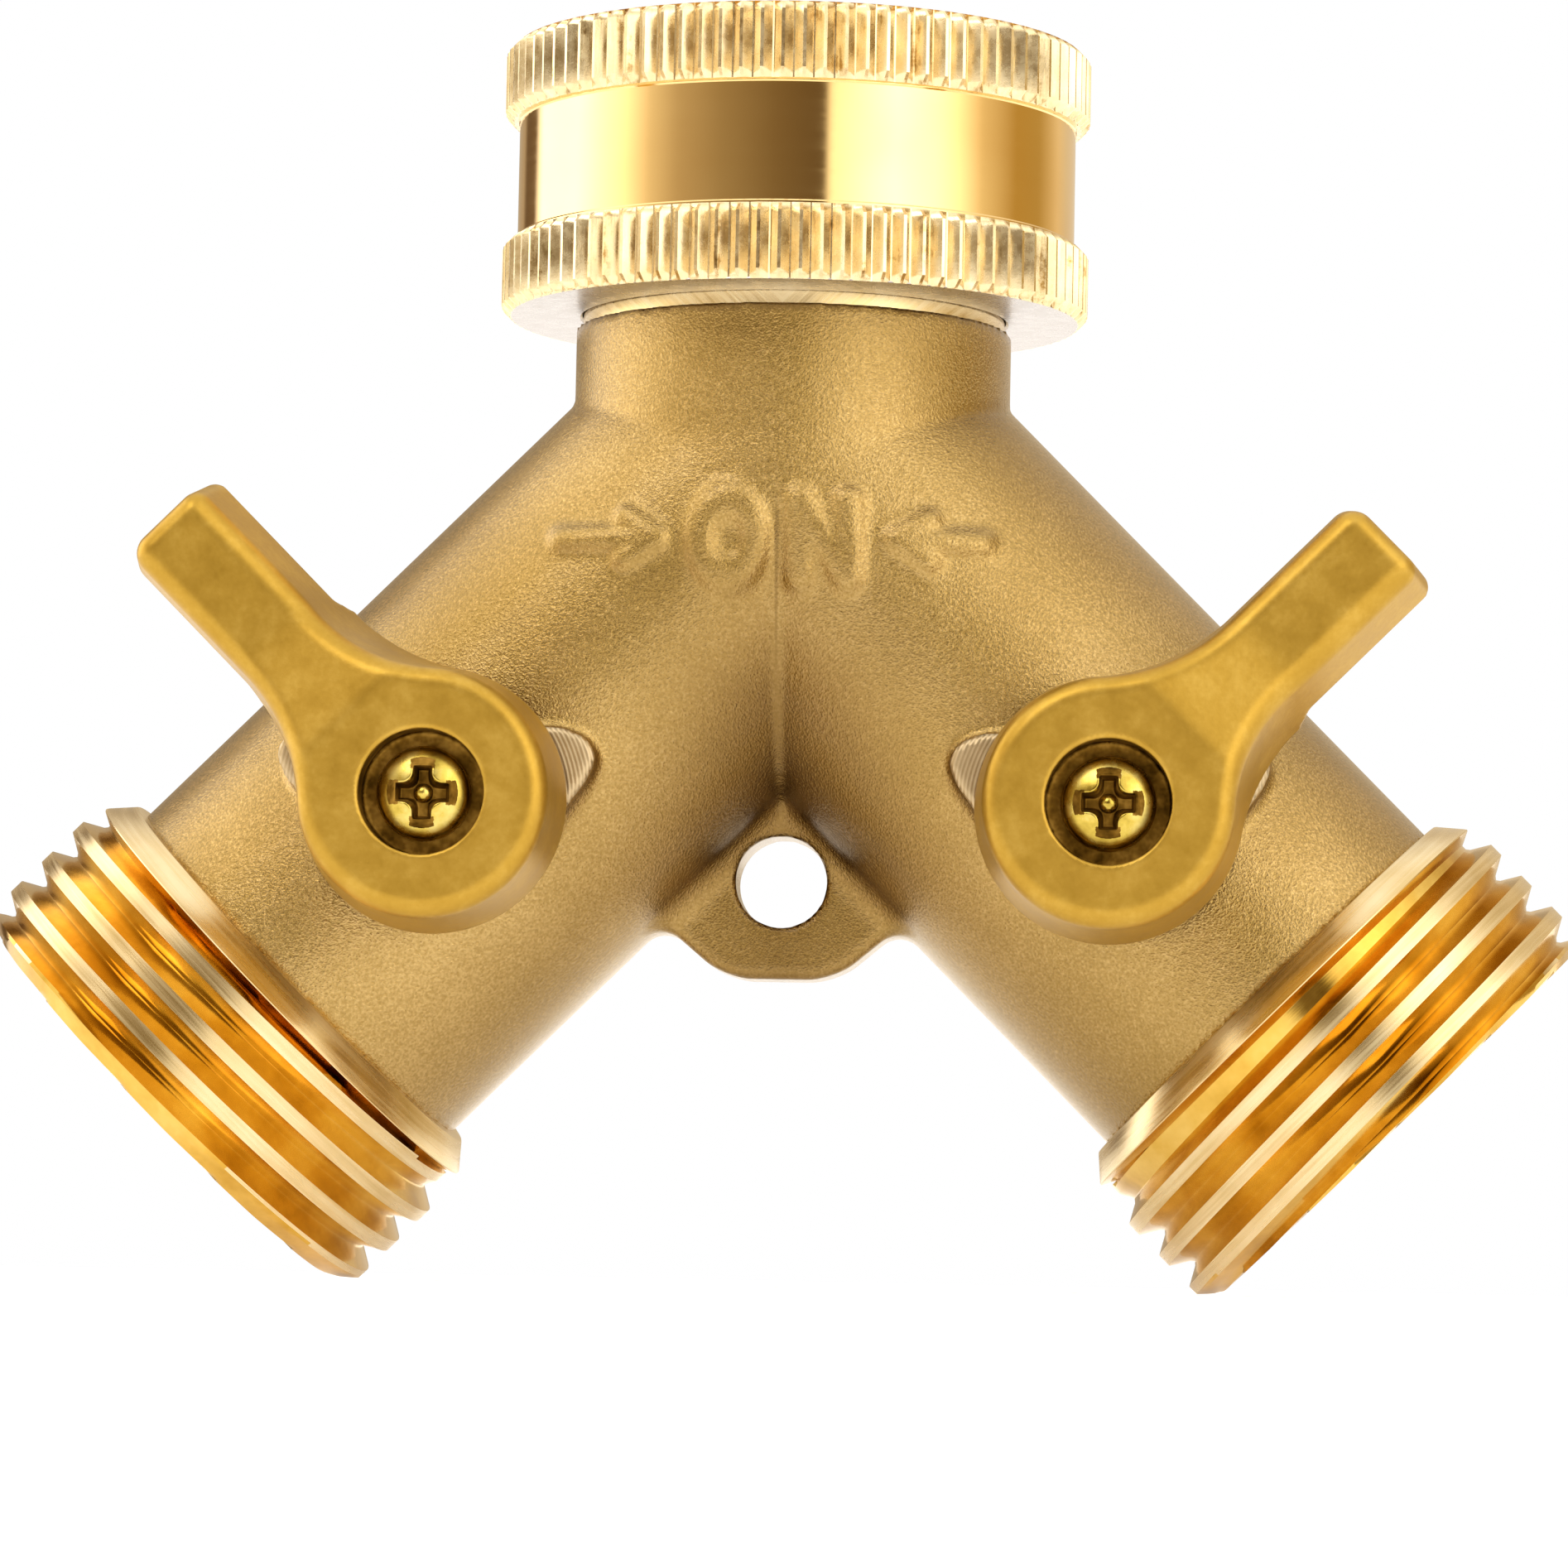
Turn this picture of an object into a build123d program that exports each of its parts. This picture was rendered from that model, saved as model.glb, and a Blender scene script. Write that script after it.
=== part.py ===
from build123d import *
from math import cos, pi, sin, sqrt, tan
import os

# A two-way brass hose splitter. Lengths are in millimetres. The origin is the centre of the
# swivel nut's mouth, +Z runs up the inlet towards the tap, X crosses the two outlets, and the
# levers are on the front, towards -Y.

# Garden hose thread, 3/4-11.5 NH
PITCH = 25.4 / 11.5
MALE_CREST_R = 13.45
MALE_CREST_FLAT = 0.74
MALE_ROOT_FLAT = 0.12
FEMALE_CREST_R = 12.35
FEMALE_CREST_FLAT = 0.35
FEMALE_ROOT_FLAT = 0.45
FLANK = tan(pi / 6)
MALE_DEPTH = (PITCH - MALE_CREST_FLAT - MALE_ROOT_FLAT) / (2 * FLANK)
FEMALE_DEPTH = (PITCH - FEMALE_CREST_FLAT - FEMALE_ROOT_FLAT) / (2 * FLANK)
MALE_ROOT_R = MALE_CREST_R - MALE_DEPTH
FEMALE_ROOT_R = FEMALE_CREST_R + FEMALE_DEPTH

# Swivel nut, measured down from its mouth
NUT_HEIGHT = 14.0
KNURL_HEIGHT = 3.85
KNURL_TIP_R = 15.25
KNURL_DEPTH = 0.5
KNURL_TEETH = 90
KNURL_CHAMFER = 0.45
BAND_R = 14.55
FIRST_CREST_Z = -0.45
FEMALE_TURNS = 4
NUT_LIP_HEIGHT = 1.4
NUT_LIP_R = 11.03

# Inlet washer, with the four ears that hold it in the nut
WASHER_R = 12.1
WASHER_BORE_R = 8.1
WASHER_HEIGHT = 2.7
EAR_R = 0.95
EAR_REACH = 12.35
EAR_HEIGHT = 1.8

# Neck of the body: a machined spigot inside the nut, and the cast neck below it
SPIGOT_R = 10.95
SPIGOT_TOP_Z = -10.9
NECK_R = 11.3
NECK_TOP_Z = -14.65
INLET_BORE_R = 8.0
LOCK_GROOVE_R = 10.15
LOCK_TOP_Z = -11.4
LOCK_HEIGHT = 1.05
LOCK_R = 12.3
LOCK_GAP_DEG = 24

# Arms: two tubes that leave the junction 45 degrees below the horizontal
JUNCTION_Z = -23.35
ARM_R = 11.35
HALF = sqrt(0.5)
WATERWAY_R = 4.9
COLLAR_START = 35.35
COLLAR_FOOT_R = 12.05
COLLAR_EDGE_R = 13.1
COLLAR_END = 36.6
ARM_END = 44.9
FIRST_MALE_CREST = 38.5
MALE_TURNS = 3
END_CREST = 44.5
END_CREST_R = 13.0
END_FACE_R = 12.5
MOUTH_R = 9.4
MOUTH_DEPTH = 7.4

# Ball valve in each arm, centred this far along the arm
VALVE_S = 23.8
BALL_R = 8.0
CAVITY_R = 8.6
SEAT_GAP = 0.05
SEAT_THICK = 3.8
SEAT_FACE = 4.8
RETAINER_LENGTH = 4.0
RETAINER_BORE_R = 5.6
SLOT_WIDTH = 2.0
SLOT_DEPTH = 1.4

# Heights above the arm's axis, along the valve's axis
PAD_TOP = 12.5
PAD_ROOT = 7.5
PAD_ROUND_R = 5.4
POCKET_R = 4.5
POCKET_TOP = 9.6
STEM_R = 3.0
STEM_BORE_R = 3.05
FLANGE_R = 4.2
FLANGE_LOW = 8.15
FLANGE_TOP = 9.05
TANG_LOW = 5.9
TANG_WIDTH = 3.0
TANG_LENGTH = 6.0
TANG_PLAY = 0.05
RING_LOW = 10.45
RING_HIGH = 11.65
RING_GROOVE_R = 1.83
RING_SECTION_R = 0.585
SQUARE = 4.2
SQUARE_TOP = 15.8
SOCKET_TOP = 16.0
SCREW_R = 1.5
SCREW_PLAY = 0.04
SCREW_HOLE_LOW = 12.4

# Handle: a round hub and a lever, in one casting
HANDLE_LOW = 12.9
HANDLE_TOP = 18.9
HUB_R = 6.7
DRAFT_DEG = 5
RIM_ROUND = 0.7
COUNTERBORE_R = 3.1
COUNTERBORE_LOW = 16.9
LEVER_REACH = 19.2
LEVER_LEFT = 2.6
LEVER_RIGHT = 3.4
LEVER_ROOT_ROUND = 4.5
LEVER_LOW = 13.9
LEVER_TOP = 17.6
LEVER_LIFT_AT = 9.6
RAMP_START = 5.4
RAMP_END = 11.0
STOP_LOW = 11.8
STOP_APEX = 5.45
STOP_HALF = 2.1
STOP_END = 9.2
HEAD_R = 2.35
HEAD_HEIGHT = 1.5
CROSS_WIDTH = 0.85
CROSS_REACH = 1.5
CROSS_DEPTH = 0.9

# Web with the hanging hole, between the arms
WEB_THICK = 4.0
HANG_Z = -43.3
HANG_R = 2.35

# Raised marks on the front of the arms
MARK_RAISE = 0.35
MARK_Z = -26.6
MARK_HALF = 2.2
STROKE = 0.8

# Sides of the splitter: the left arm is towards -X
SIDES = {"left": -1, "right": 1}


def arm_plane(side):
    """Local z runs outwards along the arm from the junction, and local x towards the front."""
    return Plane(origin=(0, 0, JUNCTION_Z), x_dir=(0, -1, 0), z_dir=(side * HALF, 0, -HALF))


def valve_plane(side):
    """Local z runs out of the front along the valve's axis, and local x along the shut lever."""
    centre = (side * HALF * VALVE_S, 0, JUNCTION_Z - HALF * VALVE_S)
    return Plane(origin=centre, x_dir=(side * HALF, 0, HALF), z_dir=(0, -1, 0))


def front_plane(x, z):
    """Local x and y are the splitter's X and Z, and local z runs out of the front."""
    return Plane(origin=(x, 0, z), x_dir=(1, 0, 0), z_dir=(0, -1, 0))


def rod(radius, low, high):
    return Pos(0, 0, low) * extrude(Circle(radius), high - low)


def tube(radius, bore, low, high):
    return rod(radius, low, high) - rod(bore, low, high)


def prism(outline, low, high):
    return Pos(0, 0, low) * extrude(make_face(Polyline(*outline, close=True)), high - low)


def spun(outline):
    """A solid of revolution about Z from (radius, height) points."""
    points = [(radius, 0, height) for radius, height in outline]
    return revolve(make_face(Polyline(*points, close=True)), Axis.Z)


def ring_outline(first, step, turns, crest_r, root_r, crest_flat):
    """Outline points, as (radius, height), of thread ridges whose centres are step apart."""
    half_crest = crest_flat / 2
    half_foot = half_crest + abs(crest_r - root_r) * FLANK
    way = 1 if step > 0 else -1
    points = []
    for turn in range(turns):
        centre = first + turn * step
        points += [
            (root_r, centre - way * half_foot),
            (crest_r, centre - way * half_crest),
            (crest_r, centre + way * half_crest),
            (root_r, centre + way * half_foot),
        ]
    return points


def knurled_ring(top):
    """A ring of straight V teeth, whose ends are chamfered, hanging down from top."""
    root = KNURL_TIP_R - KNURL_DEPTH
    step = pi / KNURL_TEETH
    corners = []
    for i in range(2 * KNURL_TEETH):
        radius = KNURL_TIP_R if i % 2 else root
        corners.append((radius * cos(i * step), radius * sin(i * step)))
    low = top - KNURL_HEIGHT
    end_r = KNURL_TIP_R - KNURL_CHAMFER
    envelope = spun([
        (0, low),
        (end_r, low),
        (KNURL_TIP_R, low + KNURL_CHAMFER),
        (KNURL_TIP_R, top - KNURL_CHAMFER),
        (end_r, top),
        (0, top),
    ])
    return prism(corners, low, top) & envelope


def swivel_nut():
    lip_top = -NUT_HEIGHT + NUT_LIP_HEIGHT
    shell = rod(BAND_R, -NUT_HEIGHT, 0) + knurled_ring(0) + knurled_ring(KNURL_HEIGHT - NUT_HEIGHT)
    first = FIRST_CREST_Z - FEMALE_CREST_FLAT / 2
    ridges = ring_outline(first, -PITCH, FEMALE_TURNS, FEMALE_CREST_R, FEMALE_ROOT_R, FEMALE_CREST_FLAT)
    # the first ridge has no upper flank: the mouth's chamfer runs straight to its crest
    mouth = [(0, 0.5), (FEMALE_CREST_R + 0.55, 0.5), (FEMALE_CREST_R + 0.55, 0)]
    chamber = [(FEMALE_ROOT_R, lip_top), (NUT_LIP_R, lip_top)]
    bottom = [(NUT_LIP_R, -NUT_HEIGHT - 0.5), (0, -NUT_HEIGHT - 0.5)]
    return shell - spun(mouth + ridges[1:] + chamber + bottom)


def inlet_washer():
    low = SPIGOT_TOP_Z + SEAT_GAP
    body = rod(WASHER_R, low, low + WASHER_HEIGHT)
    ear_low = low + (WASHER_HEIGHT - EAR_HEIGHT) / 2
    for i in range(4):
        angle = pi / 4 + i * pi / 2
        spot = Pos(EAR_REACH * cos(angle), EAR_REACH * sin(angle), 0)
        body += spot * rod(EAR_R, ear_low, ear_low + EAR_HEIGHT)
    return body - rod(WASHER_BORE_R, low, low + WASHER_HEIGHT)


def nut_retaining_ring():
    low = LOCK_TOP_Z - LOCK_HEIGHT
    ring = tube(LOCK_R, LOCK_GROOVE_R, low, LOCK_TOP_Z)
    gap = 2 * LOCK_R * sin(LOCK_GAP_DEG * pi / 360)
    return ring - Pos(0, LOCK_R, low + LOCK_HEIGHT / 2) * Box(gap, LOCK_R, 2 * LOCK_HEIGHT)


def arm_outside():
    """The outside of one arm, from the junction to the end of its hose thread."""
    thread = ring_outline(FIRST_MALE_CREST, PITCH, MALE_TURNS, MALE_CREST_R, MALE_ROOT_R, MALE_CREST_FLAT)
    flank_foot = END_CREST - (END_CREST_R - MALE_ROOT_R) * FLANK
    return spun([
        (0, 0),
        (ARM_R, 0),
        (ARM_R, COLLAR_START),
        (COLLAR_FOOT_R, COLLAR_START),
        (COLLAR_EDGE_R, COLLAR_END),
        (MALE_ROOT_R, COLLAR_END + (COLLAR_EDGE_R - MALE_ROOT_R) * FLANK),
        *thread,
        (MALE_ROOT_R, flank_foot),
        (END_CREST_R, END_CREST),
        (END_FACE_R, ARM_END),
        (0, ARM_END),
    ])


def arm_inside():
    """The waterway, the valve's cavity and the wider mouth of one arm."""
    return (
        rod(WATERWAY_R, 0, VALVE_S)
        + rod(CAVITY_R, VALVE_S - SEAT_FACE - SEAT_THICK, ARM_END + 1)
        + rod(MOUTH_R, ARM_END - MOUTH_DEPTH, ARM_END + 1)
    )


def pad_outline():
    """The raised pad seen from the front: an ear on each side stops the lever."""
    half = [(6.9, 3.8), (8.1, 2.7), (8.1, 1.9), (4.2, -3.4)]
    return half + [(-x, y) for x, y in reversed(half)]


def raised_marks():
    """The word ON between two arrows, as deep strokes that are trimmed to the arms."""
    top, low = MARK_HALF, -MARK_HALF
    letter_o = Ellipse(1.8, MARK_HALF) - Ellipse(1.8 - STROKE, MARK_HALF - STROKE)
    half = 1.6
    letter_n = [
        (-half, low), (-half, top), (STROKE - half, top), (half - STROKE, low + 1.4), (half - STROKE, top),
        (half, top), (half, low), (half - STROKE, low), (STROKE - half, top - 1.4), (STROKE - half, low),
    ]
    arrow = [(-2.3, -0.35), (0.3, -0.35), (0.3, -1.1), (2.3, 0), (0.3, 1.1), (0.3, 0.35), (-2.3, 0.35)]
    reach = ARM_R + 2 * MARK_RAISE
    marks = front_plane(-2.5, MARK_Z) * extrude(letter_o, reach)
    marks += front_plane(2.3, MARK_Z) * prism(letter_n, 0, reach)
    marks += front_plane(-8.5, MARK_Z) * prism(arrow, 0, reach)
    marks += front_plane(8.1, MARK_Z) * prism([(-x, y) for x, y in arrow], 0, reach)
    return marks


def web():
    half = [(8.0, -44.2), (5.9, -45.7), (2.8, -48.3)]
    outline = [(0, -36.0)] + half + [(-x, z) for x, z in reversed(half)]
    return front_plane(0, 0) * prism(outline, -WEB_THICK / 2, WEB_THICK / 2)


def y_body():
    body = rod(NECK_R, JUNCTION_Z, NECK_TOP_Z) + rod(SPIGOT_R, NECK_TOP_Z, SPIGOT_TOP_Z) + web()
    skin = Part()
    for side in SIDES.values():
        body += arm_plane(side) * arm_outside()
        skin += arm_plane(side) * rod(ARM_R + MARK_RAISE, 0, VALVE_S)
        pad = prism(pad_outline(), PAD_ROOT, PAD_TOP) + rod(PAD_ROUND_R, PAD_ROOT, PAD_TOP)
        centre = valve_plane(side).origin
        body += front_plane(centre.X, centre.Z) * pad
    body += raised_marks() & skin
    body -= rod(INLET_BORE_R, JUNCTION_Z - INLET_BORE_R / 2, SPIGOT_TOP_Z)
    for side in SIDES.values():
        body -= arm_plane(side) * arm_inside()
        body -= valve_plane(side) * (rod(POCKET_R, 0, POCKET_TOP) + rod(STEM_BORE_R, 0, PAD_TOP))
    body -= tube(SPIGOT_R + 1, LOCK_GROOVE_R, LOCK_TOP_Z - LOCK_HEIGHT, LOCK_TOP_Z)
    body -= front_plane(0, HANG_Z) * rod(HANG_R, -WEB_THICK, WEB_THICK)
    return body


def seat(outwards):
    """A seat ring in arm coordinates, hollowed to the ball; outwards is 1 on the outlet's side."""
    near = VALVE_S + outwards * SEAT_FACE
    far = near + outwards * SEAT_THICK
    ring = tube(CAVITY_R - SEAT_GAP, WATERWAY_R, min(near, far), max(near, far))
    return ring - Pos(0, 0, VALVE_S) * Sphere(BALL_R + SEAT_GAP)


def seat_retainer():
    """A ring that is screwed in behind the outer seat, with two slots for its key."""
    low = VALVE_S + SEAT_FACE + SEAT_THICK
    high = low + RETAINER_LENGTH
    ring = tube(CAVITY_R - SEAT_GAP, RETAINER_BORE_R, low, high)
    return ring - Pos(0, 0, high) * Box(3 * CAVITY_R, SLOT_WIDTH, 2 * SLOT_DEPTH)


def ball():
    """Shut, its bore lies along the lever; the stem's slot crosses the bore."""
    bore = Rot(0, 90, 0) * rod(WATERWAY_R, -2 * BALL_R, 2 * BALL_R)
    slot_low = TANG_LOW - 2 * TANG_PLAY
    slot = Pos(0, 0, slot_low + BALL_R / 2) * Box(TANG_WIDTH + 2 * TANG_PLAY, 2 * BALL_R, BALL_R)
    return Sphere(BALL_R) - bore - slot


def stem():
    tang = Pos(0, 0, (TANG_LOW + FLANGE_LOW) / 2) * Box(TANG_WIDTH, TANG_LENGTH, FLANGE_LOW - TANG_LOW)
    drive = Pos(0, 0, (HANDLE_LOW + SQUARE_TOP) / 2) * Box(SQUARE, SQUARE, SQUARE_TOP - HANDLE_LOW)
    shaft = rod(FLANGE_R, FLANGE_LOW, FLANGE_TOP) + rod(STEM_R, FLANGE_TOP, HANDLE_LOW)
    groove = tube(FLANGE_R, RING_GROOVE_R, RING_LOW, RING_HIGH)
    return tang + shaft + drive - groove - rod(SCREW_R, SCREW_HOLE_LOW, SQUARE_TOP)


def stem_thrust_washer():
    return tube(POCKET_R - 2 * SEAT_GAP, STEM_BORE_R, FLANGE_TOP, POCKET_TOP - SEAT_GAP)


def stem_o_ring():
    centre_r = RING_GROOVE_R + RING_SECTION_R + 0.02
    return Pos(0, 0, (RING_LOW + RING_HIGH) / 2) * Torus(centre_r, RING_SECTION_R)


def handle():
    """A tapered hub and lever. A wedge under the lever meets the pad's ears at each end of travel."""
    width = LEVER_LEFT + LEVER_RIGHT
    blade = Pos(LEVER_REACH / 2, (LEVER_LEFT - LEVER_RIGHT) / 2) * Rectangle(LEVER_REACH, width)
    plan = Circle(HUB_R) + blade
    roots = plan.vertices().filter_by(lambda v: 0 < v.X < LEVER_REACH - 1)
    plan = fillet(roots, LEVER_ROOT_ROUND)
    tips = plan.vertices().filter_by(lambda v: v.X > LEVER_REACH - 0.1)
    plan = chamfer(tips, 1.0)
    body = Pos(0, 0, HANDLE_LOW) * extrude(plan, HANDLE_TOP - HANDLE_LOW, taper=DRAFT_DEG)
    above = [(RAMP_START, HANDLE_TOP), (RAMP_END, LEVER_TOP), (LEVER_REACH + 1, LEVER_TOP)]
    above += [(LEVER_REACH + 1, HANDLE_TOP + 1), (RAMP_START, HANDLE_TOP + 1)]
    below = [(LEVER_LIFT_AT, HANDLE_LOW - 1), (LEVER_LIFT_AT, HANDLE_LOW), (LEVER_LIFT_AT + 1, LEVER_LOW)]
    below += [(LEVER_REACH + 1, LEVER_LOW), (LEVER_REACH + 1, HANDLE_LOW - 1)]
    for outline in (above, below):
        cutter = Plane.XZ * prism(outline, -HUB_R, HUB_R)
        body -= cutter
    wedge = [(STOP_APEX, 0), (STOP_APEX + STOP_HALF, STOP_HALF), (STOP_END, STOP_HALF)]
    wedge += [(x, -y) for x, y in reversed(wedge[1:])]
    body += prism(wedge, STOP_LOW, HANDLE_LOW + 0.5)
    body -= rod(COUNTERBORE_R, COUNTERBORE_LOW, HANDLE_TOP)
    socket = SQUARE + 2 * TANG_PLAY
    body -= Pos(0, 0, (HANDLE_LOW + SOCKET_TOP) / 2) * Box(socket, socket, SOCKET_TOP - HANDLE_LOW)
    body -= rod(SCREW_R + SCREW_PLAY, SOCKET_TOP, COUNTERBORE_LOW)
    return body


def handle_screw():
    """A pan-head screw with a cross recess, which clamps the handle on the stem's square."""
    head_top = COUNTERBORE_LOW + HEAD_HEIGHT
    head = rod(HEAD_R, COUNTERBORE_LOW, head_top)
    head = fillet(head.edges().group_by(Axis.Z)[-1], RIM_ROUND)
    shank = rod(SCREW_R - SCREW_PLAY, SCREW_HOLE_LOW + 0.3, COUNTERBORE_LOW)
    recess_z = head_top - CROSS_DEPTH / 2
    for long_x, long_y in ((2 * CROSS_REACH, CROSS_WIDTH), (CROSS_WIDTH, 2 * CROSS_REACH)):
        head -= Pos(0, 0, recess_z) * Rot(0, 0, 45) * Box(long_x, long_y, CROSS_DEPTH)
    return head + shank


def save(node, shape):
    export_step(shape, f"parts/{node}.step")


os.makedirs("parts", exist_ok=True)
save("swivel_nut", swivel_nut())
save("inlet_washer", inlet_washer())
save("nut_retaining_ring", nut_retaining_ring())
save("y_body", y_body())
for name, side in SIDES.items():
    save(f"{name}_inner_seat", arm_plane(side) * seat(-1))
    save(f"{name}_outer_seat", arm_plane(side) * seat(1))
    save(f"{name}_seat_retainer", arm_plane(side) * seat_retainer())
    save(f"{name}_ball", valve_plane(side) * ball())
    save(f"{name}_stem", valve_plane(side) * stem())
    save(f"{name}_stem_thrust_washer", valve_plane(side) * stem_thrust_washer())
    save(f"{name}_stem_o_ring", valve_plane(side) * stem_o_ring())
    save(f"{name}_handle", valve_plane(side) * handle())
    save(f"{name}_handle_screw", valve_plane(side) * handle_screw())
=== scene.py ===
import math

import bpy
import numpy as np
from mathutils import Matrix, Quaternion, Vector


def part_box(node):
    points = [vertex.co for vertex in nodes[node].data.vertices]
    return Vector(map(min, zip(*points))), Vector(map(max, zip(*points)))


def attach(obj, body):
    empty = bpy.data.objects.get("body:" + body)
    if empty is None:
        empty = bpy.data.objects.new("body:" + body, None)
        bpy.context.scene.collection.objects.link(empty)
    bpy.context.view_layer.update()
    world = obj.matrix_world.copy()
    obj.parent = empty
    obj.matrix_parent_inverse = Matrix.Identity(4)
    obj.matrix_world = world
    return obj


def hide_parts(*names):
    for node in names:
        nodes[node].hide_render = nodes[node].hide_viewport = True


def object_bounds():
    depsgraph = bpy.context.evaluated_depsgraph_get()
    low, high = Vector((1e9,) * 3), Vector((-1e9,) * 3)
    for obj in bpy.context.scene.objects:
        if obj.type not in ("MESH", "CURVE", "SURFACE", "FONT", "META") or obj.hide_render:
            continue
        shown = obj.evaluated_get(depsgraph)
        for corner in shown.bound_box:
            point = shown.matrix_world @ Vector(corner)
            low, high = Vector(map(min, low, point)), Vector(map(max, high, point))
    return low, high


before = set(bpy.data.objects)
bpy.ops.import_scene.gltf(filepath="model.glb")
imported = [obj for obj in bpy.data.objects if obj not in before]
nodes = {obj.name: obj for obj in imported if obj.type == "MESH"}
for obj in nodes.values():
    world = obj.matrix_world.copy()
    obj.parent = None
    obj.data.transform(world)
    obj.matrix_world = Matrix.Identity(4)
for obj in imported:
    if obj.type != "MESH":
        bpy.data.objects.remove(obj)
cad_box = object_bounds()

# A two-way brass hose splitter. Shapes are worked out in millimetres and placed in metres.
MM = 0.001
HALF = math.sqrt(0.5)
SIDES = {"left": -1, "right": 1}

# Garden hose thread, 3/4-11.5 NH: flanks at 30 degrees to the square cut, flats at crest and root
PITCH = 25.4 / 11.5
FLANK_SLOPE = math.tan(math.radians(60))
MALE_CREST_R = 13.45
MALE_CREST_FLAT = 0.74
MALE_ROOT_FLAT = 0.2
FEMALE_CREST_R = 12.35
FEMALE_CREST_FLAT = 0.35
FEMALE_ROOT_FLAT = 0.45
MOUTH_CHAMFER = 1.25
CHAMFER_SLOPE = 1.1

# The casting: neck, arms, valve pads and hanging web; distances along an arm start at the junction
NECK_R = 11.3
NECK_TOP_Z = -14.65
INLET_R = 8.0
ARM_R = 11.35
CAVITY_R = 8.6
CAVITY_BACK = 8.6
WATERWAY_R = 4.9
PAD_TOP = 12.5
POCKET_R = 4.5
POCKET_TOP = 9.6
STEM_BORE_R = 3.05
HANG_Z = -43.3
HANG_R = 2.35
WEB_HALF = 2.0
MARK_Z = -26.6
MARK_RAISE = 0.27
LETTER_HALF = 0.5
ARROW_HALF = 0.36
COLLAR_START = 35.35
COLLAR_END = 36.6
COLLAR_R = 13.1
FIRST_CREST = 38.35
END_CHAMFER_START = 44.05
ARM_END = 44.9
END_RING_R = 12.15
MOUTH_R = 9.4
MOUTH_DEPTH = 7.4

# The spigot above the neck, and its groove for the ring that keeps the nut on
SPIGOT_R = 10.95
SPIGOT_TOP = -10.9
GROOVE_R = 10.15
GROOVE_LOW = -12.45
GROOVE_TOP = -11.4

# The swivel nut, with heights down from its mouth
KNURL_TEETH = 90
KNURL_HEIGHT = 3.85
KNURL_TIP_R = 15.25
KNURL_ROOT_R = 14.74
KNURL_INNER_R = 14.5
BAND_R = 14.55
CHAMBER_R = 13.57
CHAMBER_LOW = -12.6
NUT_THREAD_LOW = -9.6
NUT_FADE_TOP = -8.2
LIP_R = 11.03

# The handles, with heights out from the valve's centre, and the screws in their counterbores
HANDLE_LOW = 12.9
HANDLE_TOP = 18.9
HUB_R = 6.7
LEVER_TOP = 17.6
LEVER_REACH = 19.2
LEVER_LOW = 13.9
LEVER_LIFT_AT = 9.6
LEVER_LEFT = 2.65
LEVER_RIGHT = 3.4
HUB_DRAFT = 5.5
LEFT_DRAFT = 6
RIGHT_DRAFT = 18
TIP_DRAFT = 4
FLARE_R = 10.0
RAMP_START = 5.4
RAMP_END = 11.0
WEDGE = [(5.45, 0), (7.55, -2.1), (9.2, -2.1), (9.2, 2.1), (7.55, 2.1)]
WEDGE_LOW = 11.8
WEDGE_TOP = 14.5
COUNTERBORE_R = 3.1
COUNTERBORE_LOW = 16.9
SOCKET_TOP = 16.0
SOCKET_HALF = 2.15
HEAD_R = 2.35
HEAD_TOP = COUNTERBORE_LOW + 1.5
HEAD_DOME_R = 4.0
RECESS_DEPTH = 0.95
RECESS_REACH = 1.14
RECESS_HALF = 0.26
NUB_R = 0.46


def point_mm(values):
    return np.array([float(v) for v in values]) / MM


# The valves' centres and the junction of the arms' axes come from the CAD.
ball_mid = {}
for name in SIDES:
    low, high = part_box(name + "_ball")
    ball_mid[name] = point_mm([(low.x + high.x) / 2, 0, (low.z + high.z) / 2])
JUNCTION_Z = (ball_mid["left"][2] + ball_mid["right"][2]) / 2 + abs(ball_mid["left"][0])
VALVE_S = abs(ball_mid["left"][0]) / HALF
NUT_BOTTOM = point_mm(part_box("swivel_nut")[0])[2]


def frame_of(origin, x_axis, z_axis):
    """A 3 x 4 matrix whose columns are a local frame's axes and its origin, in millimetres."""
    z_axis = np.array(z_axis, float)
    x_axis = np.array(x_axis, float)
    y_axis = np.cross(z_axis, x_axis)
    return np.column_stack([x_axis, y_axis, z_axis, np.array(origin, float)])


ARM = {n: frame_of((0, 0, JUNCTION_Z), (0, -1, 0), (s * HALF, 0, -HALF)) for n, s in SIDES.items()}
VALVE = {n: frame_of(ball_mid[n], (s * HALF, 0, HALF), (0, -1, 0)) for n, s in SIDES.items()}
UPRIGHT = frame_of((0, 0, 0), (1, 0, 0), (0, 0, 1))


# Meshes

def mesh_piece(name, points, faces, place, material_index=None, sharp=None):
    """A piece from local points in millimetres and a list of faces; sharp edges are kept by angle."""
    points = np.asarray(points, float) @ place[:, :3].T + place[:, 3]
    mesh = bpy.data.meshes.new(name)
    mesh.from_pydata((points * MM).tolist(), [], [list(map(int, f)) for f in faces])
    if material_index is not None:
        mesh.polygons.foreach_set("material_index", np.asarray(material_index, np.int32))
    mesh.polygons.foreach_set("use_smooth", [True] * len(mesh.polygons))
    if sharp is not None:
        mesh.set_sharp_from_angle(angle=math.radians(sharp))
    mesh.validate()
    mesh.update()
    piece = bpy.data.objects.new(name, mesh)
    bpy.context.scene.collection.objects.link(piece)
    return piece


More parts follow.
